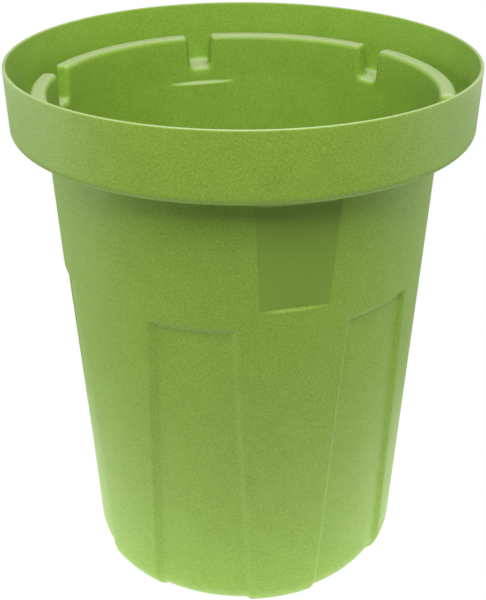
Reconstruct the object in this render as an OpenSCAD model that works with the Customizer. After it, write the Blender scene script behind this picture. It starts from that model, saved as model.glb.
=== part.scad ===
// Open-top moulded container, 40 gallon.
// One rotationally moulded shell, divided along its own features into parts that meet face to face.
// Origin: centre of the base, +Z up. The two grip flats face -Y and +Y.

/* [Overall] */
// Height from the floor to the rim
height = 793; // [770:1:860]
// Thickness of the moulded wall
wall = 5; // [3:0.5:6]

/* [Collar] */
// Outside diameter at the rim
rim_d = 660; // [650:1:690]
// Height of the collar
collar_h = 97; // [85:1:110]
// Amount that the collar's radius shrinks from rim to underside
collar_draft = 3; // [0:0.5:6]
// Outside radius of the collar's lower corner
collar_corner_r = 12; // [8:1:16]

/* [Body] */
// Outside diameter just under the collar
body_top_d = 556; // [545:1:565]
// Outside diameter at the floor, before the corner is rounded
body_base_d = 477; // [450:1:500]
// Outside radius of the corner between wall and base
base_corner_r = 51; // [30:1:60]

/* [Panels and ribs] */
// Number of sunk panels, with a rib between each pair
panel_count = 6; // [4:2:6]
// Depth of a panel below the ribs
panel_depth = 6.5; // [3:0.5:9]
// Height of a panel's top edge above the floor
panel_top_z = 500; // [420:5:505]
// Height of the sloping ledge at a panel's top
panel_ledge_h = 16; // [8:1:24]
// Angle that a panel takes up at its top edge
panel_top_angle = 26; // [18:1:28]
// Angle that a panel takes up at the floor
panel_base_angle = 37; // [30:1:42]
// Width of the slope down each side of a panel
panel_slope_w = 12; // [8:1:18]

/* [Grip flats] */
// Height of a grip flat's lower edge above the floor
grip_low_z = 529; // [525:1:600]
// Height of a grip flat's upper edge above the floor
grip_high_z = 680; // [640:1:680]
// Width of a grip flat at its lower edge
grip_low_w = 96; // [70:1:110]
// Width of a grip flat at its upper edge
grip_high_w = 115; // [90:1:130]

/* [Lip] */
// Depth of the lip's flat top below the rim
lip_drop = 41; // [30:1:50]
// Width of the lip across its top
lip_w = 24; // [20:1:30]
// Width of a drain notch
notch_w = 40; // [30:1:60]
// Rounding of the lip's edges
lip_edge_r = 8; // [6:1:10]

/* [Hidden] */

$fn = 144;
leaf_green = "#84a44a";
lip_count = 6;
panel_steps = 6;
rib_steps = 8;
corner_steps = 8;

// Faces at which neighbouring parts meet
underside_z = height - collar_h;
trough_z = underside_z + wall;
base_joint_z = base_corner_r + 9;
wall_joint_z = (panel_top_z + grip_low_z) / 2;

// Radii
rim_r = rim_d / 2;
collar_low_r = rim_r - collar_draft;
collar_floor_r = collar_low_r - collar_corner_r;
body_top_r = body_top_d / 2;
body_base_r = body_base_d / 2;
lip_in_r = body_top_r - wall;
lip_out_r = lip_in_r + lip_w;
rim_edge_r = 0.4 * wall;

// Angles
body_lean = atan((body_top_r - body_base_r) / underside_z);
panel_pitch = 360 / panel_count;
lip_pitch = 360 / lip_count;
lip_angle = lip_pitch - 2 * asin(notch_w / 2 / lip_out_r);
end_wall_angle = atan(wall / lip_in_r);

// Outside radius of the body, before its base corner is rounded
function body_r(z) = body_base_r + z * tan(body_lean);

// Distance from the axis to a flat whose edges are w apart on the body at height z
function flat_distance(z, w) = sqrt(pow(body_r(z), 2) - pow(w / 2, 2));

// Points along an arc, from one angle to another
function arc(centre, r, from, to, steps = 16) =
    [for (i = [0:steps]) let (a = from + (to - from) * i / steps) centre + r * [cos(a), sin(a)]];

// ---- Rings of points that the panelled body is skinned over ----

// Half of the angle that a panel takes up at height z, out to where its sides reach the ribs
function panel_half_angle(z) =
    (panel_base_angle + (panel_top_angle - panel_base_angle) * min(z / panel_top_z, 1)) / 2;

// One turn of the body at height z, with each panel sunk by its share of the full depth.
// Skin is 0 on the outside and the wall's thickness on the inside.
function body_ring(z, r, sink, skin) =
    let (bend = skin * tan(atan(panel_depth / panel_slope_w) / 2),
         rib_edge = panel_half_angle(z) + atan(bend / r),
         panel_edge = rib_edge - atan(panel_slope_w / r))
    [for (i = [0:panel_count - 1])
        for (j = [0:panel_steps + rib_steps + 1])
            let (on_panel = j <= panel_steps,
                 a = i * panel_pitch + (on_panel
                     ? panel_edge * (2 * j / panel_steps - 1)
                     : rib_edge + (panel_pitch - 2 * rib_edge) * (j - panel_steps - 1) / rib_steps),
                 ring_r = r - (on_panel ? sink * panel_depth : 0))
            [ring_r * cos(a), ring_r * sin(a), z]];

// Rings from the base joint up to the wall joint, bent at the panels' sloping top ledge.
// The ledge on the inside sits higher, so that the wall keeps its thickness round the bend.
function wall_rings(skin) =
    let (ledge_rise = skin * (norm([panel_depth, panel_ledge_h]) - panel_ledge_h) / panel_depth,
         ledge_top_z = panel_top_z + ledge_rise,
         ledge_low_z = ledge_top_z - panel_ledge_h,
         middle_z = (base_joint_z + ledge_low_z) / 2,
         side_skin = skin / cos(body_lean))
    [for (at = [[base_joint_z, 1], [middle_z, 1], [ledge_low_z, 1], [ledge_top_z, 0], [wall_joint_z, 0]])
        body_ring(at[0], body_r(at[0]) - side_skin, at[1], skin)];

// Rings from the flat of the base round the corner and up to the base joint
function base_rings(skin) =
    let (corner_r = base_corner_r - skin,
         corner_z = base_corner_r,
         side_skin = skin / cos(body_lean),
         corner_x = body_r(corner_z) - side_skin - corner_r / cos(body_lean))
    concat([for (p = arc([corner_x, corner_z], corner_r, -90, -body_lean, corner_steps))
                body_ring(p.y, p.x, 1, skin)],
           [body_ring(base_joint_z, body_r(base_joint_z) - side_skin, 1, skin)]);

function reversed(list) = [for (i = [len(list) - 1:-1:0]) list[i]];

// Skin over rings with equal numbers of points. It either closes on itself or has a flat at each end.
module ring_skin(rings, loop) {
    n = len(rings[0]);
    spans = loop ? len(rings) : len(rings) - 1;
    sides = [for (i = [0:spans - 1]) for (j = [0:n - 1])
        let (a = i * n, b = (i + 1) % len(rings) * n, k = (j + 1) % n)
        each [[a + j, b + j, b + k], [a + j, b + k, a + k]]];
    flats = [[for (j = [0:n - 1]) j], [for (j = [n - 1:-1:0]) (len(rings) - 1) * n + j]];
    polyhedron(points = [for (ring = rings) each ring], faces = concat(sides, loop ? [] : flats));
}

// ---- Solids that the upper wall is cut from ----

// The upper wall turned solid, shrunk inwards by the skin
module grip_cone(skin) {
    side_skin = skin / cos(body_lean);
    low_z = wall_joint_z - skin;
    high_z = underside_z + skin;
    translate([0, 0, low_z])
        cylinder(h = high_z - low_z, r1 = body_r(low_z) - side_skin, r2 = body_r(high_z) - side_skin);
}

// Space in front of one grip flat, grown by the skin
module grip_block(skin) {
    low = flat_distance(grip_low_z, grip_low_w);
    high = flat_distance(grip_high_z, grip_high_w);
    lean = atan((high - low) / (grip_high_z - grip_low_z));
    length = norm([high - low, grip_high_z - grip_low_z]);
    translate([0, -low, grip_low_z])
        rotate([lean, 0, 0])
            translate([-rim_r, skin - rim_r, -skin])
                cube([rim_d, rim_r, length + 2 * skin]);
}

module grip_form(skin) {
    difference() {
        grip_cone(skin);
        for (side = [0, 180])
            rotate(side) grip_block(skin);
    }
}

// ---- Parts, from the floor up ----

// Floor of the container, with the rounded corner that the ribs run into
module base_pan() {
    color(leaf_green) ring_skin(concat(base_rings(0), reversed(base_rings(wall))), loop = false);
}

// Lower wall, with its sunk panels and the ribs between them
module ribbed_wall() {
    color(leaf_green) ring_skin(concat(wall_rings(0), reversed(wall_rings(wall))), loop = true);
}

// Upper wall, with the two grip flats under the collar
module grip_wall() {
    color(leaf_green)
        difference() {
            grip_form(0);
            grip_form(wall);
        }
}

// Ring that joins body to collar and carries the lip. It is open under each hollow lip segment.
module trough_floor() {
    color(leaf_green)
        difference() {
            rotate_extrude()
                translate([lip_in_r, underside_z])
                    square([collar_floor_r - lip_in_r, wall]);
            for (i = [0:lip_count - 1])
                rotate(i * lip_pitch) lip_hollow(underside_z - 1);
        }
}

// Outer collar, from the rounded lower corner to the rim
module outer_collar() {
    corner_r = collar_corner_r;
    corner = [collar_floor_r, underside_z + corner_r];
    rim = height - rim_edge_r;
    color(leaf_green)
        rotate_extrude()
            polygon(concat(
                arc(corner, corner_r, -90, 0),
                arc([rim_r - rim_edge_r, rim], rim_edge_r, 0, 90, 6),
                arc([rim_r - wall + rim_edge_r, rim], rim_edge_r, 90, 180, 6),
                arc(corner, corner_r - wall, 0, -90)));
}

// Space inside one lip segment, centred on +X, from a given height up to the skin under its top
module lip_hollow(low_z) {
    hollow_angle = lip_angle - 2 * end_wall_angle;
    rotate(-hollow_angle / 2)
        rotate_extrude(angle = hollow_angle)
            lip_section(low_z, wall);
}

// Cross-section of the lip with rounded upper edges, shrunk inwards by the skin
module lip_section(low_z, skin) {
    edge_r = lip_edge_r - skin;
    edge_z = height - lip_drop - lip_edge_r;
    polygon(concat(
        [[lip_in_r + skin, low_z], [lip_out_r - skin, low_z]],
        arc([lip_out_r - lip_edge_r, edge_z], edge_r, 0, 90, 8),
        arc([lip_in_r + lip_edge_r, edge_z], edge_r, 90, 180, 8)));
}

// What is cut away to round the upper corner at the end of a lip segment
module lip_end_rounding() {
    top_z = height - lip_drop;
    translate([lip_in_r - wall, 0, top_z - lip_edge_r])
        difference() {
            translate([0, -lip_edge_r, 0])
                cube([lip_w + 2 * wall, 2 * lip_edge_r, 2 * lip_edge_r]);
            translate([-wall, -lip_edge_r, 0])
                rotate([0, 90, 0])
                    cylinder(h = lip_w + 4 * wall, r = lip_edge_r);
        }
}

// One hollow arc of the raised lip, between two drain notches
module lip_segment(number) {
    color(leaf_green)
        rotate((number - 1) * lip_pitch)
            difference() {
                rotate(-lip_angle / 2)
                    rotate_extrude(angle = lip_angle)
                        lip_section(trough_z, 0);
                lip_hollow(trough_z - 1);
                rotate(lip_angle / 2) lip_end_rounding();
                mirror([0, 1, 0]) rotate(lip_angle / 2) lip_end_rounding();
            }
}

base_pan();
ribbed_wall();
grip_wall();
trough_floor();
outer_collar();
lip_segment(1);  // lip_segment_1
lip_segment(2);  // lip_segment_2
lip_segment(3);  // lip_segment_3
lip_segment(4);  // lip_segment_4
lip_segment(5);  // lip_segment_5
lip_segment(6);  // lip_segment_6
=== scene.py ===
"""Looks of an open-top container: one moulding in leaf green polyethylene, on a pale studio floor."""
import math

import bmesh
import bpy
import numpy as np
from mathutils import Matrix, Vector


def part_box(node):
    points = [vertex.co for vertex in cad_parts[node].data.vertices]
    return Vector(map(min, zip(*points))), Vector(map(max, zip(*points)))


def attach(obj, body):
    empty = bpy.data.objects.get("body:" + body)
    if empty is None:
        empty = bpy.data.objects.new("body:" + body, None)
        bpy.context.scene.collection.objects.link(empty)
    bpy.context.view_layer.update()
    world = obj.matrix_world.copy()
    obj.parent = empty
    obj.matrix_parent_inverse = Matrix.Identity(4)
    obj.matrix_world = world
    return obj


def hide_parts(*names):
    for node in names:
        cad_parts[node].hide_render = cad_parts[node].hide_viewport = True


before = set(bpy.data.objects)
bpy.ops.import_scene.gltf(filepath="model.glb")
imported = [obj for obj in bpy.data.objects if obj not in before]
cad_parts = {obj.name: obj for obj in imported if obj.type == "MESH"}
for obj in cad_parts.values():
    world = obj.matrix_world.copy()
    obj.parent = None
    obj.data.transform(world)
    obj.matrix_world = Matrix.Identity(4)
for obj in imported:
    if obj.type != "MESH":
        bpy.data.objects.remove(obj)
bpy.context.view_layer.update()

MM = 0.001
MATH = "ShaderNodeMath"
RANGE = "ShaderNodeMapRange"
VECTOR = "ShaderNodeVectorMath"

# ---- Sizes in millimetres, read from the frame ----


def node_box(node):
    """Lowest and highest corner of a node, in millimetres."""
    return [np.array(corner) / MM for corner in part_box(node)]


BASE_JOINT_Z = node_box("base_pan")[1][2]
WALL_JOINT_Z = node_box("ribbed_wall")[1][2]
UNDERSIDE_Z, TROUGH_Z = (corner[2] for corner in node_box("trough_floor"))
RIM_R, _, RIM_Z = node_box("outer_collar")[1]
COLLAR_FLOOR_R = node_box("trough_floor")[1][0]
LIP_OUT_R, LIP_HALF_Y, LIP_TOP_Z = node_box("lip_segment_1")[1]
BODY_TOP_R = node_box("grip_wall")[1][0]
WALL = TROUGH_Z - UNDERSIDE_Z

# ---- Sizes that the design gives and a box doesn't show ----

BODY_BASE_R = 238.5
BASE_CORNER_R = 51.0
COLLAR_DRAFT = 3.0
RIM_EDGE_R = 2.0
PANEL_COUNT = 6
PANEL_DEPTH = 6.5
PANEL_TOP_Z = 500.0
PANEL_TOP_ANGLE = 26.0
PANEL_FLOOR_ANGLE = 37.0
# The ledge over a panel and the slopes beside it are steeper than in the CAD, for crisper folds
PANEL_LEDGE_H = 8.0
PANEL_SLOPE_W = 6.5
GRIP_LOW_Z = 529.0
GRIP_HIGH_Z = 680.0
GRIP_LOW_W = 96.0
GRIP_HIGH_W = 115.0
LIP_COUNT = 6
LIP_EDGE_R = 8.0

# ---- Looks ----

GREEN_DARK = "#80a430"
GREEN_LIGHT = "#9dc54c"
# The outside of each grip flat is drawn in a slightly darker green
GREEN_GRIP = "#86a93c"
GRIP_PATCH_EDGE = 1.0
# Painted sheen pales the level faces round the mouth: how far up a face looks, and from what height
GREEN_PAINTED_SHEEN = "#b0c488"
PAINTED_SHEEN_FROM = 0.45
PAINTED_SHEEN_TO = 0.95
PAINTED_SHEEN_LOW_Z = 600.0
PLASTIC_ROUGHNESS = 0.5
PLASTIC_IOR = 1.45
# Strength and roughness of the waxy bloom
BLOOM = 0.04
BLOOM_ROUGHNESS = 0.4
# Fused powder grains, about 0.5 mm in life and drawn coarser so that they show
GRAIN = 2.0
# Clouds where the skin melted unevenly, and their share in the mottling
CLOUD = 30.0
CLOUD_SHARE = 0.15
NOISE_DETAIL = 2.0
# Mottling below and above these is all dark and all light
MOTTLE = (0.3, 0.7)
PEEL_DEPTH = 0.15
PEEL_STRENGTH = 0.25

# ---- Soft edges that a rotational moulding has, in millimetres, and blends as shares of a slope ----

FOOT_FILLET_R = 8.0
NOTCH_DRAFT = 2.5
HOLLOW_EDGE_R = 3.0
HOLLOW_END = 12.0
HOLLOW_GAP = 0.5
UNDER_FILLET_R = 6.0
GRIP_LEDGE = 5.0
GRIP_BLEND = 1.5
PANEL_CORNER_BLEND = 0.2
PANEL_EDGE_BLEND = 0.2
PANEL_FADE_R = (100.0, 150.0)
SHARP_ANGLE = 50

# ---- Where the pieces meet, and how finely they are drawn ----

TOP_JOINT_Z = UNDERSIDE_Z - 8.0
LIP_FOOT_R = LIP_OUT_R + 12.0
AXIS_GAP = 1.0
MERGE_GAP = 0.02
PRESSED_COLUMNS = 720
PLAIN_COLUMNS = 360
BASE_CORNER_STEPS = 24
FLAT_STEP = 12
CURVED_STEP = 4
# Height steps of the walls: along a plain stretch, near a ledge, and over it
WALL_STEP = 10
NEAR_STEP = 4
PANEL_LEDGE_STEP = 2
GRIP_LEDGE_STEP = 0.8
TOP_STEP = 1
PANEL_LEDGE_ZONE = 20
GRIP_LEDGE_ZONE = 6
GRIP_LEDGE_MARGIN = 2
# Steps in a section of the collar: its rounded floor outside and inside, and each edge of its rim
COLLAR_STEPS = (14, 10)
RIM_STEPS = 8
COLLAR_STEP = 6
# Steps in a lip's side: its foot fillet, its face and its top edge
FOOT_STEPS = 8
FACE_STEPS = 9
EDGE_STEPS = 8
# Steps round a lip's corner and over half a notch, and the spacing along its top in millimetres
CORNER_STEPS = 7
NOTCH_STEPS = 5
TOP_SPACING = 5
# Steps out on the trough, down the wall below a lip, and across the lip's top
OUTER_STEPS = 2
INNER_STEPS = 5
ACROSS_STEPS = 3
# Steps under a lip: wall, fillet, hollow's top, its outer corner, its side, its foot, then the trough
UNDER_STEPS = (5, 5, 2, 4, 3, 4, 2)

LIP_IN_R = BODY_TOP_R - WALL
LIP_H = LIP_TOP_Z - TROUGH_Z
LIP_HALF = math.asin(LIP_HALF_Y / LIP_OUT_R)
LIP_MIDDLE_R = (LIP_IN_R + LIP_OUT_R) / 2
HOLLOW_OUT_R = LIP_OUT_R - WALL
BODY_SLOPE = (BODY_TOP_R - BODY_BASE_R) / UNDERSIDE_Z
SIDE_WALL = WALL * math.hypot(1, BODY_SLOPE)
LEAN = math.atan(BODY_SLOPE)


def body_r(z):
    """Outside radius of the body, before its base corner is rounded."""
    return BODY_BASE_R + BODY_SLOPE * z


# ---- Outlines ----


def arc(centre, radius, start, end, steps):
    """Points along an arc, with its angles in degrees."""
    angles = np.radians(np.linspace(start, end, steps + 1))
    return [(centre[0] + radius * math.cos(a), centre[1] + radius * math.sin(a)) for a in angles]


def filled(points, step):
    """The same outline with its long stretches divided, so that no stretch is longer than a step."""
    result = [points[0]]
    for a, b in zip(points, points[1:]):
        parts = max(1, math.ceil(math.dist(a, b) / step))
        result += [tuple(np.add(a, np.subtract(b, a) * i / parts)) for i in range(1, parts + 1)]
    return result


# ---- Meshes ----


def object_from(name, vertices, faces):
    """A new object from points in millimetres."""
    mesh = bpy.data.meshes.new(name)
    mesh.from_pydata([tuple(c * MM for c in v) for v in vertices], [], faces)
    obj = bpy.data.objects.new(name, mesh)
    bpy.context.scene.collection.objects.link(obj)
    return obj


def grid(name, rows, around):
    """A closed object from rows of points, each row a loop. The rows wrap round too, or end in flats."""
    n = len(rows[0])
    spans = len(rows) if around else len(rows) - 1
    faces = []
    for i in range(spans):
        a, b = i * n, (i + 1) % len(rows) * n
        faces += [(a + j, a + (j + 1) % n, b + (j + 1) % n, b + j) for j in range(n)]
    if not around:
        faces += [tuple(range(n - 1, -1, -1)), tuple((len(rows) - 1) * n + j for j in range(n))]
    return object_from(name, [v for row in rows for v in row], faces)


def tidy(obj):
    """Merges doubled points, turns faces outwards and shades the object smooth between its sharp edges."""
    bm = bmesh.new()
    bm.from_mesh(obj.data)
    bmesh.ops.remove_doubles(bm, verts=bm.verts, dist=MERGE_GAP * MM)
    bmesh.ops.dissolve_degenerate(bm, edges=bm.edges, dist=MERGE_GAP * MM)
    if bm.calc_volume(signed=True) < 0:
        bmesh.ops.reverse_faces(bm, faces=bm.faces)
    for face in bm.faces:
        face.smooth = True
    for edge in bm.edges:
        edge.smooth = edge.calc_face_angle(0) < math.radians(SHARP_ANGLE)
    bm.to_mesh(obj.data)
    bm.free()


def revolve(name, outline, columns, around=True):
    """An outline of (radius, height) points turned round the axis: a loop, or open at the axis."""
    angles = [2 * math.pi * i / columns for i in range(columns)]
    rows = [[(r * math.cos(a), r * math.sin(a), z) for a in angles] for r, z in outline]
    return grid(name, rows, around)


# ---- Geometry Nodes ----


def add(tree, kind, links=None, **settings):
    """Adds a node with its settings, and sets or links its inputs. Returns its outputs."""
    node = tree.nodes.new(kind)
    for key, value in settings.items():
        setattr(node, key, value)
    for key, value in (links or {}).items():
        if isinstance(value, bpy.types.NodeSocket):
            tree.links.new(value, node.inputs[key])
        else:
            node.inputs[key].default_value = value
    return node.outputs


def new_tree(name, sizes):
    """A geometry tree with a mesh input, one named number for each size, and a material."""
    tree = bpy.data.node_groups.new(name, "GeometryNodeTree")
    tree.interface.new_socket("Geometry", in_out="INPUT", socket_type="NodeSocketGeometry")
    for size in sizes:
        tree.interface.new_socket(size, in_out="INPUT", socket_type="NodeSocketFloat")
    tree.interface.new_socket("Material", in_out="INPUT", socket_type="NodeSocketMaterial")
    tree.interface.new_socket("Geometry", in_out="OUTPUT", socket_type="NodeSocketGeometry")
    return tree, add(tree, "NodeGroupInput")


def end_tree(tree, material, geometry):
    """Ends a tree with real geometry in its material."""
    real = add(tree, "GeometryNodeRealizeInstances", {"Geometry": geometry})[0]
    painted = add(tree, "GeometryNodeSetMaterial", {"Geometry": real, "Material": material})[0]
    add(tree, "NodeGroupOutput", {"Geometry": painted})


def run_tree(obj, tree, sizes, material):
    """Runs a tree on an object and keeps the result as a plain mesh."""
    modifier = obj.modifiers.new(tree.name, "NODES")
    modifier.node_group = tree
    values = dict(sizes, Material=material)
    for item in tree.interface.items_tree:
        if item.in_out == "INPUT" and item.name in values:
            modifier[item.identifier] = values[item.name]
    graph = bpy.context.evaluated_depsgraph_get()
    baked = bpy.data.meshes.new_from_object(obj.evaluated_get(graph))
    obj.modifiers.clear()
    obj.data = baked


PANEL_SIZES = {
    "Panels": float(PANEL_COUNT), "Depth": PANEL_DEPTH * MM, "Top": PANEL_TOP_Z * MM,
    "Ledge": PANEL_LEDGE_H * MM, "Slope": PANEL_SLOPE_W * MM,
    "Half angle at top": math.radians(PANEL_TOP_ANGLE / 2),
    "Half angle at floor": math.radians(PANEL_FLOOR_ANGLE / 2),
    "Fade from": PANEL_FADE_R[0] * MM, "Fade to": PANEL_FADE_R[1] * MM}


def panel_press():
    """A tree that sinks the panels into a turned wall, with soft slopes down to them."""
    tree, size = new_tree("Panel press", PANEL_SIZES)
    x, y, z = add(tree, "ShaderNodeSeparateXYZ", {0: add(tree, "GeometryNodeInputPosition")[0]})
    level = add(tree, "ShaderNodeCombineXYZ", {0: x, 1: y})[0]
    radius = add(tree, VECTOR, {0: level}, operation="LENGTH")["Value"]
    # Angle from the middle of the nearest panel
    bearing = add(tree, MATH, {0: y, 1: x}, operation="ARCTAN2")[0]
    half_pitch = add(tree, MATH, {0: math.pi, 1: size["Panels"]}, operation="DIVIDE")[0]
    off = add(tree, MATH, {0: bearing, 1: half_pitch}, operation="PINGPONG")[0]
    # How far inside the panel's side and top edges a point lies, as a share of the slope there
    half = add(tree, RANGE, {"Value": z, "From Min": 0.0, "From Max": size["Top"],
                             "To Min": size["Half angle at floor"], "To Max": size["Half angle at top"]})[0]
    slope = add(tree, MATH, {0: size["Slope"], 1: radius}, operation="DIVIDE")[0]
    slope_foot = add(tree, MATH, {0: half, 1: slope}, operation="SUBTRACT")[0]
    side = add(tree, RANGE, {"Value": off, "From Min": half, "From Max": slope_foot}, clamp=False)[0]
    ledge_foot = add(tree, MATH, {0: size["Top"], 1: size["Ledge"]}, operation="SUBTRACT")[0]
    below = add(tree, RANGE, {"Value": z, "From Min": size["Top"], "From Max": ledge_foot}, clamp=False)[0]
    inside = add(tree, MATH, {0: side, 1: below, 2: PANEL_CORNER_BLEND}, operation="SMOOTH_MIN")[0]
    capped = add(tree, MATH, {0: inside, 1: 1.0, 2: PANEL_EDGE_BLEND}, operation="SMOOTH_MIN")[0]
    share = add(tree, MATH, {0: capped, 1: 0.0, 2: PANEL_EDGE_BLEND}, operation="SMOOTH_MAX")[0]
    # The sinking fades out under the base, near the axis
    depth = add(tree, RANGE, {"Value": radius, "From Min": size["Fade from"], "From Max": size["Fade to"],
                              "To Max": size["Depth"]})[0]
    sink = add(tree, MATH, {0: share, 1: depth}, operation="MULTIPLY")[0]
    shrink = add(tree, MATH, {0: sink, 1: radius}, operation="DIVIDE")[0]
    inwards = add(tree, VECTOR, {0: level, 1: (-1.0, -1.0, 0.0)}, operation="MULTIPLY")[0]
    push = add(tree, VECTOR, {0: inwards, "Scale": shrink}, operation="SCALE")[0]
    moved = add(tree, "GeometryNodeSetPosition", {"Geometry": size["Geometry"], "Offset": push})[0]
    end_tree(tree, size["Material"], moved)
    return tree


def flat_at(z, width):
    """Distance from the axis to a flat whose edges are a width apart on the body."""
    return math.sqrt(body_r(z) ** 2 - (width / 2) ** 2)


GRIP_SIZES = {
    "Low": GRIP_LOW_Z * MM, "High": GRIP_HIGH_Z * MM, "Ledge": GRIP_LEDGE * MM, "Wall": WALL * MM,
    "Flat at low": flat_at(GRIP_LOW_Z, GRIP_LOW_W) * MM,
    "Flat at high": flat_at(GRIP_HIGH_Z, GRIP_HIGH_W) * MM,
    "Mid radius at low": (body_r(GRIP_LOW_Z) - WALL / 2) * MM,
    "Mid radius at high": (body_r(GRIP_HIGH_Z) - WALL / 2) * MM, "Blend": GRIP_BLEND * MM}


def grip_press():
    """A tree that flattens a turned wall at its front and back, between a low and a high ledge."""
    tree, size = new_tree("Grip press", GRIP_SIZES)
    x, y, z = add(tree, "ShaderNodeSeparateXYZ", {0: add(tree, "GeometryNodeInputPosition")[0]})
    level = add(tree, "ShaderNodeCombineXYZ", {0: x, 1: y})[0]
    radius = add(tree, VECTOR, {0: level}, operation="LENGTH")["Value"]
    rise = {"Value": z, "From Min": size["Low"], "From Max": size["High"]}
    # The flat on the inside lies one wall nearer to the axis
    middle = add(tree, RANGE, dict(rise, **{
        "To Min": size["Mid radius at low"], "To Max": size["Mid radius at high"]}), clamp=False)[0]
    on_inside = add(tree, MATH, {0: radius, 1: middle}, operation="LESS_THAN")[0]
    skin = add(tree, MATH, {0: on_inside, 1: size["Wall"]}, operation="MULTIPLY")[0]
    outer_flat = add(tree, RANGE, dict(rise, **{
        "To Min": size["Flat at low"], "To Max": size["Flat at high"]}), clamp=False)[0]
    flat = add(tree, MATH, {0: outer_flat, 1: skin}, operation="SUBTRACT")[0]
    out = add(tree, MATH, {0: y}, operation="ABSOLUTE")[0]
    pressed = add(tree, MATH, {0: out, 1: flat, 2: size["Blend"]}, operation="SMOOTH_MIN")[0]
    # The pressing grows and fades over a ledge at each end
    low_foot = add(tree, MATH, {0: size["Low"], 1: size["Ledge"]}, operation="SUBTRACT")[0]
    low = add(tree, RANGE, {"Value": z, "From Min": low_foot, "From Max": size["Low"]},
              interpolation_type="SMOOTHSTEP")[0]
    high_foot = add(tree, MATH, {0: size["High"], 1: size["Ledge"]}, operation="SUBTRACT")[0]
    high = add(tree, RANGE, {"Value": z, "From Min": size["High"], "From Max": high_foot},
               interpolation_type="SMOOTHSTEP")[0]
    share = add(tree, MATH, {0: low, 1: high}, operation="MULTIPLY")[0]
    shift = add(tree, MATH, {0: pressed, 1: out}, operation="SUBTRACT")[0]
    side = add(tree, MATH, {0: y}, operation="SIGN")[0]
    signed = add(tree, MATH, {0: shift, 1: side}, operation="MULTIPLY")[0]
    push = add(tree, MATH, {0: signed, 1: share}, operation="MULTIPLY")[0]
    offset = add(tree, "ShaderNodeCombineXYZ", {1: push})[0]
    moved = add(tree, "GeometryNodeSetPosition", {"Geometry": size["Geometry"], "Offset": offset})[0]
    end_tree(tree, size["Material"], moved)
    return tree


def turning():
    """A tree that turns a piece round the axis."""
    tree, size = new_tree("Turning", ["Turn"])
    rotation = add(tree, "ShaderNodeCombineXYZ", {2: size["Turn"]})[0]
    turned = add(tree, "GeometryNodeTransform", {"Geometry": size["Geometry"], "Rotation": rotation})[0]
    end_tree(tree, size["Material"], turned)
    return tree


# ---- Material ----


def linear(hex_colour):
    """An sRGB hex colour as linear RGBA."""
    parts = [int(hex_colour[i:i + 2], 16) / 255 for i in (1, 3, 5)]
    return [p / 12.92 if p <= 0.04045 else ((p + 0.055) / 1.055) ** 2.4 for p in parts] + [1.0]


def grip_patch(tree, where):
    """How far a point lies on the outside of a grip flat, from 0 to 1."""
    x, y, z = add(tree, "ShaderNodeSeparateXYZ", {0: where})
    span = {"Value": z, "From Min": GRIP_LOW_Z * MM, "From Max": GRIP_HIGH_Z * MM}
    edge = add(tree, RANGE, dict(span, **{
        "To Min": GRIP_LOW_W / 2 * MM, "To Max": GRIP_HIGH_W / 2 * MM}), clamp=False)[0]
    across = add(tree, MATH, {0: edge, 1: add(tree, MATH, {0: x}, operation="ABSOLUTE")[0]},
                 operation="SUBTRACT")[0]
    within = add(tree, RANGE, {"Value": across, "From Min": 0.0, "From Max": GRIP_PATCH_EDGE * MM})[0]
    depth = WALL / 2
    middle = add(tree, RANGE, dict(span, **{
        "To Min": (flat_at(GRIP_LOW_Z, GRIP_LOW_W) - depth) * MM,
        "To Max": (flat_at(GRIP_HIGH_Z, GRIP_HIGH_W) - depth) * MM}), clamp=False)[0]
    outside = add(tree, MATH, {0: add(tree, MATH, {0: y}, operation="ABSOLUTE")[0], 1: middle},
                  operation="GREATER_THAN")[0]
    above = add(tree, RANGE, {"Value": z, "From Min": (GRIP_LOW_Z - GRIP_PATCH_EDGE) * MM,
                              "From Max": GRIP_LOW_Z * MM})[0]
    below = add(tree, RANGE, {"Value": z, "From Min": TOP_JOINT_Z * MM, "From Max": GRIP_HIGH_Z * MM})[0]
    face = add(tree, MATH, {0: within, 1: outside}, operation="MULTIPLY")[0]
    band = add(tree, MATH, {0: above, 1: below}, operation="MULTIPLY")[0]
    return add(tree, MATH, {0: face, 1: band}, operation="MULTIPLY")[0]


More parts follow.
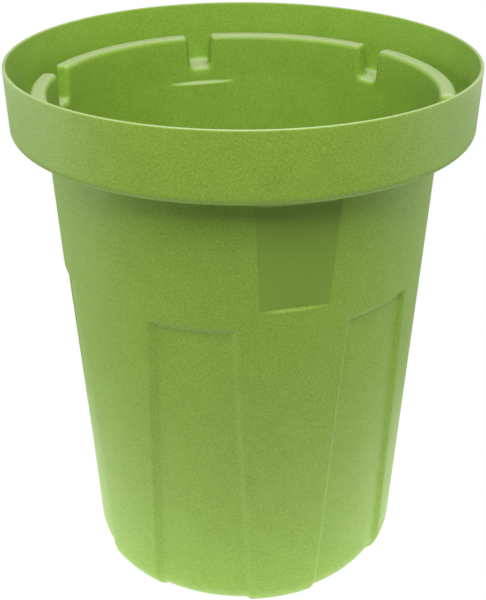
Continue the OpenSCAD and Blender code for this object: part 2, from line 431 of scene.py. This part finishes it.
def moulded_polyethylene():
    """Rotationally moulded linear polyethylene: matte, with fused powder grain and a faint orange peel."""
    material = bpy.data.materials.new("rotomoulded_polyethylene_leaf_green")
    material.use_nodes = True
    tree = material.node_tree
    shader = tree.nodes["Principled BSDF"]
    shader.inputs["Roughness"].default_value = PLASTIC_ROUGHNESS
    shader.inputs["IOR"].default_value = PLASTIC_IOR
    place = add(tree, "ShaderNodeTexCoord")
    where = place["Object"]
    grain, cloud = (add(tree, "ShaderNodeTexNoise", {"Vector": where, "Scale": 1 / (size * MM),
                                                     "Detail": NOISE_DETAIL})["Fac"]
                    for size in (GRAIN, CLOUD))
    mottle = add(tree, "ShaderNodeMix", {0: CLOUD_SHARE, 2: grain, 3: cloud}, data_type="FLOAT")[0]
    contrast = add(tree, RANGE, {"Value": mottle, "From Min": MOTTLE[0], "From Max": MOTTLE[1]})[0]
    colour = add(tree, "ShaderNodeMix", {0: contrast, 6: linear(GREEN_DARK), 7: linear(GREEN_LIGHT)},
                 data_type="RGBA")[2]
    patched = add(tree, "ShaderNodeMix", {0: grip_patch(tree, where), 6: colour, 7: linear(GREEN_GRIP)},
                  data_type="RGBA")[2]
    # Painted sheen on the level faces round the mouth, paler the more they face up
    facing = add(tree, "ShaderNodeSeparateXYZ", {0: place["Normal"]})[2]
    level = add(tree, RANGE, {"Value": facing, "From Min": PAINTED_SHEEN_FROM, "From Max": PAINTED_SHEEN_TO},
                interpolation_type="SMOOTHSTEP")[0]
    height = add(tree, "ShaderNodeSeparateXYZ", {0: where})[2]
    at_mouth = add(tree, MATH, {0: height, 1: PAINTED_SHEEN_LOW_Z * MM}, operation="GREATER_THAN")[0]
    painted_sheen = add(tree, MATH, {0: level, 1: at_mouth}, operation="MULTIPLY")[0]
    sheen_painted = add(tree, "ShaderNodeMix", {0: painted_sheen, 6: patched, 7: linear(GREEN_PAINTED_SHEEN)}, data_type="RGBA")[2]
    tree.links.new(sheen_painted, shader.inputs["Base Color"])
    # Orange peel left by the mould's own surface
    peel = add(tree, "ShaderNodeBump", {"Strength": PEEL_STRENGTH, "Distance": PEEL_DEPTH * MM,
                                        "Height": grain})[0]
    tree.links.new(peel, shader.inputs["Normal"])
    # Dusty bloom of the waxy skin, which pales the plastic where it is seen at a slant
    shader.inputs["Sheen Weight"].default_value = BLOOM
    shader.inputs["Sheen Roughness"].default_value = BLOOM_ROUGHNESS
    return material


# ---- Pieces, named after the node that each one replaces ----

SUFFIX = "_moulding"


def wall_outline(rows):
    """Loop of a straight stretch of wall: up its outside, then down its inside."""
    outside = [(body_r(z), z) for z in rows]
    inside = [(body_r(z) - SIDE_WALL, z) for z in reversed(rows)]
    return outside + inside


def base_outline():
    """Section of the base: out along the floor, up the rounded corner, and back along the inside."""
    def side(skin):
        r = BASE_CORNER_R - skin
        x = body_r(BASE_CORNER_R) - skin / math.cos(LEAN) - r / math.cos(LEAN)
        floor = [(AXIS_GAP, skin), (x, skin)]
        corner = arc((x, BASE_CORNER_R), r, -90, -math.degrees(LEAN), BASE_CORNER_STEPS)
        top = (body_r(BASE_JOINT_Z) - skin / math.cos(LEAN), BASE_JOINT_Z)
        return filled(floor, FLAT_STEP) + filled(corner[1:] + [top], CURVED_STEP)
    return side(0) + side(WALL)[::-1]


def collar_outline():
    """Loop of the collar: up its rounded floor and its outside, over the rim, and down its inside."""
    low_r = RIM_R - COLLAR_DRAFT
    centre = (COLLAR_FLOOR_R, UNDERSIDE_Z + low_r - COLLAR_FLOOR_R)
    outer = low_r - COLLAR_FLOOR_R
    edge_z = RIM_Z - RIM_EDGE_R
    loop = (arc(centre, outer, -90, 0, COLLAR_STEPS[0])
            + arc((RIM_R - RIM_EDGE_R, edge_z), RIM_EDGE_R, 0, 90, RIM_STEPS)
            + arc((RIM_R - WALL + RIM_EDGE_R, edge_z), RIM_EDGE_R, 90, 180, RIM_STEPS)
            + arc(centre, outer - WALL, 0, -90, COLLAR_STEPS[1]))
    return filled(loop, COLLAR_STEP)


def trough_outline():
    """Section of the level step between the lips and the collar."""
    return filled([(LIP_FOOT_R, UNDERSIDE_Z), (COLLAR_FLOOR_R, UNDERSIDE_Z),
                   (COLLAR_FLOOR_R, TROUGH_Z), (LIP_FOOT_R, TROUGH_Z)], CURVED_STEP)


def lip_profile():
    """Side of a lip from its foot up to its top edge: (distance out, height, way into the plastic)."""
    profile = []
    for a in np.radians(np.linspace(-90, -180, FOOT_STEPS + 1)):
        out, up = math.cos(a), math.sin(a)
        profile.append((NOTCH_DRAFT + FOOT_FILLET_R * (1 + out), FOOT_FILLET_R * (1 + up), (-out, up)))
    low_z, high_z = FOOT_FILLET_R, LIP_H - LIP_EDGE_R
    for share in np.linspace(0, 1, FACE_STEPS + 1)[1:-1]:
        profile.append((NOTCH_DRAFT * (1 - share), low_z + share * (high_z - low_z), (1, 0)))
    for a in np.radians(np.linspace(0, 90, EDGE_STEPS + 1)):
        out, up = math.cos(a), math.sin(a)
        profile.append((LIP_EDGE_R * (out - 1), high_z + LIP_EDGE_R * up, (out, -up)))
    return profile


def lip_columns():
    """Side view of half a lip, from the middle of a notch: distance in, height, way in, profile step."""
    profile = lip_profile()
    notch_half = (math.pi / LIP_COUNT - LIP_HALF) * LIP_MIDDLE_R
    foot = profile[0][0]
    columns = [(-u, 0, (0, -1), 0) for u in np.linspace(notch_half, foot, NOTCH_STEPS + 1)[:-1]]
    columns += [(-out, z, into, k) for k, (out, z, into) in enumerate(profile)]
    along = np.arange(LIP_EDGE_R, LIP_HALF * LIP_MIDDLE_R, TOP_SPACING)[1:]
    columns += [(u, LIP_H, (0, -1), len(profile) - 1) for u in [*along, LIP_HALF * LIP_MIDDLE_R]]
    return columns


def between(a, b, count):
    """Points on a straight line from a to b, without a."""
    return [tuple(np.add(a, np.subtract(b, a) * i / count)) for i in range(1, count + 1)]


def lip_outer_path(column, foot_u, profile, runs):
    """From a lip's top or a notch's floor out to the trough: round the corner, then down the side."""
    u, z, _, k = column
    core_r = LIP_OUT_R - LIP_EDGE_R
    centre_u = max(u, LIP_EDGE_R)
    turn_r = centre_u - u
    path = [(centre_u - turn_r * math.cos(a), core_r + turn_r * math.sin(a), z)
            for a in np.radians(np.linspace(0, 90, CORNER_STEPS + 1))]
    for step in range(len(profile) - 2, -1, -1):
        at = min(step, k)
        fallen = (runs[k] - runs[at]) / runs[k] if k else 1
        out, level, _ = profile[at]
        path.append((centre_u + (foot_u - centre_u) * fallen, LIP_OUT_R + out, level))
    return path + between(path[-1], (foot_u, LIP_FOOT_R, 0), OUTER_STEPS)


def lip_inner_path(column, joint_u):
    """From a lip's top or a notch's floor over the inner edge and down the wall to the joint."""
    u, z, into, _ = column
    path = []
    for a in np.radians(np.linspace(0, 90, EDGE_STEPS + 1)):
        sunk = LIP_EDGE_R * (1 - math.cos(a))
        path.append((u + into[0] * sunk, LIP_IN_R + LIP_EDGE_R * (1 - math.sin(a)), z + into[1] * sunk))
    joint = (joint_u, body_r(TOP_JOINT_Z) - SIDE_WALL, TOP_JOINT_Z - TROUGH_Z)
    return path + between(path[-1], joint, INNER_STEPS)


def hollow_height(u):
    """Height of the hollow under a lip, which rises softly from each end."""
    share = min(max((u - WALL) / HOLLOW_END, 0), 1)
    return (LIP_H - HOLLOW_GAP) * share * share * (3 - 2 * share)


def lip_under_stops(hollow):
    """Section under a lip whose hollow has this height: from the joint out to the trough's underside."""
    wall, fillet, top, corner, side, foot, out = UNDER_STEPS
    bend = min(HOLLOW_EDGE_R, hollow / 2)
    ceiling_z = UNDERSIDE_Z + hollow
    joint = (body_r(TOP_JOINT_Z), TOP_JOINT_Z)
    into = arc((BODY_TOP_R + UNDER_FILLET_R, ceiling_z - UNDER_FILLET_R), UNDER_FILLET_R, 180, 90, fillet)
    down = arc((HOLLOW_OUT_R - bend, ceiling_z - bend), bend, 90, 0, corner)
    away = arc((HOLLOW_OUT_R + bend, UNDERSIDE_Z + bend), bend, 180, 270, foot)
    return ([joint] + between(joint, into[0], wall) + into[1:]
            + between(into[-1], down[0], top) + down[1:]
            + between(down[-1], away[0], side) + away[1:]
            + between(away[-1], (LIP_FOOT_R, UNDERSIDE_Z), out))


def lip_under_path(joint_u, foot_u):
    """From the joint under the collar up through the hollow and out to the trough's underside."""
    count = sum(UNDER_STEPS)
    path = []
    for i in range(count + 1):
        u = joint_u + (foot_u - joint_u) * i / count
        r, z = lip_under_stops(hollow_height(u))[i]
        path.append((u, r, z - TROUGH_Z))
    return path


def path_lengths(points):
    """Distance along a line of points to each of them, in the plane of their first two numbers."""
    steps = [math.dist(a[:2], b[:2]) for a, b in zip(points, points[1:])]
    return np.concatenate([[0], np.cumsum(steps)])


def make_lip_master():
    """One lip segment round +X, with half a notch at each end, open to its neighbours on flat cuts."""
    profile = lip_profile()
    runs = path_lengths(profile)
    columns = lip_columns()
    run = path_lengths(columns)
    first, last = columns[0][0], columns[-1][0]
    corner = next(i for i, c in enumerate(columns) if c[0] == -profile[0][0])
    rows = []
    for i, column in enumerate(columns):
        joint_u = first + (last - first) * run[i] / run[-1]
        if i <= corner:
            foot_u = first + (LIP_EDGE_R - first) * i / corner
        else:
            foot_u = LIP_EDGE_R + (last - LIP_EDGE_R) * (run[i] - run[corner]) / (run[-1] - run[corner])
        outer = lip_outer_path(column, foot_u, profile, runs)
        # The floor of a notch runs straight out at its middle, and bends by degrees to follow the lip's foot
        if i < corner:
            straight = [(column[0], outer[0][1], 0)]
            straight += between(straight[0], (foot_u, LIP_FOOT_R, 0), len(outer) - 1)
            share = i / corner
            outer = [tuple(np.add(np.multiply(s, 1 - share), np.multiply(o, share)))
                     for s, o in zip(straight, outer)]
        inner = lip_inner_path(column, joint_u)
        across = between(outer[0], inner[0], ACROSS_STEPS)[:-1]
        rows.append(outer[::-1] + across + inner + lip_under_path(joint_u, foot_u))
    other_half = [[(2 * last - u, r, z) for u, r, z in row] for row in reversed(rows[:-1])]
    placed = []
    for row in rows + other_half:
        angles = [u / LIP_MIDDLE_R - LIP_HALF for u, _, _ in row]
        placed.append([(r * math.cos(a), r * math.sin(a), z + TROUGH_Z) for a, (_, r, z) in zip(angles, row)])
    return grid("lip_master", placed, around=False)


def heights(*stops):
    """Heights from the first stop up to the last. Each later stop brings the step that leads up to it."""
    made = [stops[0]]
    for top, step in stops[1:]:
        count = max(1, round((top - made[-1]) / step))
        made += list(np.linspace(made[-1], top, count + 1)[1:])
    return made


def make_turned_parts(plastic):
    """The parts that are turned round the axis, with the panels and the grip flats pressed in."""
    panels = panel_press()
    base = revolve("base_pan" + SUFFIX, base_outline(), PRESSED_COLUMNS, around=False)
    run_tree(base, panels, PANEL_SIZES, plastic)

    rows = heights(BASE_JOINT_Z, (PANEL_TOP_Z - PANEL_LEDGE_ZONE, WALL_STEP),
                   (WALL_JOINT_Z, PANEL_LEDGE_STEP))
    ribbed = revolve("ribbed_wall" + SUFFIX, wall_outline(rows), PRESSED_COLUMNS)
    run_tree(ribbed, panels, PANEL_SIZES, plastic)

    rows = heights(WALL_JOINT_Z, (GRIP_LOW_Z - GRIP_LEDGE_ZONE, NEAR_STEP),
                   (GRIP_LOW_Z + GRIP_LEDGE_MARGIN, GRIP_LEDGE_STEP),
                   (GRIP_HIGH_Z - GRIP_LEDGE_ZONE, WALL_STEP), (TOP_JOINT_Z, TOP_STEP))
    grips = revolve("grip_wall" + SUFFIX, wall_outline(rows), PRESSED_COLUMNS)
    run_tree(grips, grip_press(), GRIP_SIZES, plastic)

    trough = revolve("trough_floor" + SUFFIX, trough_outline(), PLAIN_COLUMNS)
    collar = revolve("outer_collar" + SUFFIX, collar_outline(), PLAIN_COLUMNS)
    for plain in (trough, collar):
        plain.data.materials.append(plastic)
    return [base, ribbed, grips, trough, collar]


def make_lips(plastic):
    """Six copies of the lip, each turned to its place."""
    master = make_lip_master()
    turn = turning()
    lips = []
    for number in range(1, LIP_COUNT + 1):
        lip = bpy.data.objects.new("lip_segment_%d" % number + SUFFIX, master.data.copy())
        bpy.context.scene.collection.objects.link(lip)
        run_tree(lip, turn, {"Turn": (number - 1) * 2 * math.pi / LIP_COUNT}, plastic)
        lips.append(lip)
    bpy.data.objects.remove(master)
    return lips


def build():
    """Makes each piece, and ties it to the node that it replaces."""
    plastic = moulded_polyethylene()
    for piece in make_turned_parts(plastic) + make_lips(plastic):
        tidy(piece)
        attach(piece, "root")
        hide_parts(piece.name.removesuffix(SUFFIX))


build()

# ---- Studio, in metres and degrees ----

# The camera's turn from the front, its distance from the axis, its height, and the height that it looks at
CAMERA_TURN = -14.8
CAMERA_OUT = 1.5790
CAMERA_UP = 1.2112
AIM_UP = 0.4101
CAMERA_LENS = 68.96
WHITE = "#ffffff"
FLOOR_SIZE = 400.0
# The floor and the light table lie this far under the base, so that no faces coincide
FLOOR_DROP = 0.0002
TABLE_DROP = 0.0004
TABLE_WHITE = "#b6b6b4"
TABLE_ROUGHNESS = 0.9
# Light that comes up through the table: distance from the middle, and strength
TABLE_GLOW = [(0.0, 0.9), (0.3, 1.2), (0.5, 1.1), (0.65, 0.1), (1.0, 0.0)]
# The ramp that holds those strengths goes no higher than 1, so it holds them as shares of this
TABLE_PEAK = 1.2

CAMERA_SIDE = math.radians(CAMERA_TURN)
TOWARDS = Vector((math.sin(CAMERA_SIDE), -math.cos(CAMERA_SIDE), 0))
RIGHT = Vector((math.cos(CAMERA_SIDE), math.sin(CAMERA_SIDE), 0))
UP = Vector((0, 0, 1))

# Softboxes: distance towards the camera, to its right and up, then width and power
SOFTBOXES = {
    "overhead": (0.0, 0.0, 2.0, 1.2, 9.5),
    "high_front": (1.35, 0.0, 2.15, 1.2, 35.5),
    "left_side": (0.0, -1.8, 0.6, 1.2, 13.5),
    "right_side": (0.0, 1.8, 0.6, 1.2, 10),
    "left_rim": (-1.2, -1.5, 0.8, 1.2, 9),
    "right_rim": (-1.2, 1.5, 0.8, 1.2, 11)}


def aim(obj, place, target):
    """Puts a camera or a light in its place, looking at a target."""
    bpy.context.scene.collection.objects.link(obj)
    obj.location = place
    obj.rotation_mode = "QUATERNION"
    obj.rotation_quaternion = (Vector(target) - Vector(place)).to_track_quat("-Z", "Y")


def sheet(name, drop):
    """A wide level sheet, a little below the face that the object stands on."""
    half = FLOOR_SIZE / 2 / MM
    z = -drop / MM
    return object_from(name, [(-half, -half, z), (half, -half, z), (half, half, z), (-half, half, z)],
                       [(0, 1, 2, 3)])


def make_floor():
    """White paper that only the camera sees, and only from above, so that it hides no underside."""
    paper = bpy.data.materials.new("matt_white_paper")
    paper.use_nodes = True
    tree = paper.node_tree
    white = add(tree, "ShaderNodeEmission", {"Color": linear(WHITE)})[0]
    clear = add(tree, "ShaderNodeBsdfTransparent")[0]
    below = add(tree, "ShaderNodeNewGeometry")["Backfacing"]
    one_way = add(tree, "ShaderNodeMixShader", {0: below, 1: white, 2: clear})[0]
    tree.links.new(one_way, tree.nodes["Material Output"].inputs["Surface"])
    floor = sheet("floor", FLOOR_DROP)
    floor.data.materials.append(paper)
    floor.visible_diffuse = False
    floor.visible_glossy = False
    floor.visible_shadow = False


def make_light_table():
    """A shooting table of white acrylic, lit from below round the object and not seen by the camera."""
    acrylic = bpy.data.materials.new("matt_white_acrylic")
    acrylic.use_nodes = True
    tree = acrylic.node_tree
    shader = tree.nodes["Principled BSDF"]
    shader.inputs["Base Color"].default_value = linear(TABLE_WHITE)
    shader.inputs["Roughness"].default_value = TABLE_ROUGHNESS
    shader.inputs["Emission Color"].default_value = linear(WHITE)
    where = add(tree, "ShaderNodeTexCoord")["Object"]
    distance = add(tree, VECTOR, {0: where}, operation="LENGTH")["Value"]
    reach = TABLE_GLOW[-1][0]
    share = add(tree, RANGE, {"Value": distance, "From Max": reach})[0]
    ramp = tree.nodes.new("ShaderNodeValToRGB")
    tree.links.new(share, ramp.inputs[0])
    while len(ramp.color_ramp.elements) < len(TABLE_GLOW):
        ramp.color_ramp.elements.new(1.0)
    for element, (r, strength) in zip(ramp.color_ramp.elements, TABLE_GLOW):
        element.position = r / reach
        element.color = [strength / TABLE_PEAK] * 3 + [1.0]
    strength = add(tree, MATH, {0: ramp.outputs[0], 1: TABLE_PEAK}, operation="MULTIPLY")[0]
    tree.links.new(strength, shader.inputs["Emission Strength"])
    table = sheet("light_table", TABLE_DROP)
    table.data.materials.append(acrylic)
    table.visible_camera = False


def make_lights():
    """Soft square lights round the object, in a white room that gives no light of its own."""
    world = bpy.data.worlds.new("white_room")
    bpy.context.scene.world = world
    world.use_nodes = True
    world.node_tree.nodes["Background"].inputs["Color"].default_value = linear(WHITE)
    world.node_tree.nodes["Background"].inputs["Strength"].default_value = 1.0
    world.cycles_visibility.diffuse = False
    world.cycles_visibility.glossy = False
    for name, (front, right, up, width, power) in SOFTBOXES.items():
        light = bpy.data.objects.new(name, bpy.data.lights.new(name, "AREA"))
        light.data.size = width
        light.data.energy = power
        light.visible_camera = False
        aim(light, TOWARDS * front + RIGHT * right + UP * up, UP * AIM_UP)


def make_camera():
    """A camera a little above the rim, turned from the middle of the front."""
    camera = bpy.data.objects.new("camera", bpy.data.cameras.new("camera"))
    camera.data.lens = CAMERA_LENS
    aim(camera, TOWARDS * CAMERA_OUT + UP * CAMERA_UP, UP * AIM_UP)
    bpy.context.scene.camera = camera


make_floor()
make_light_table()
make_lights()
make_camera()
bpy.context.scene.view_settings.view_transform = "Standard"
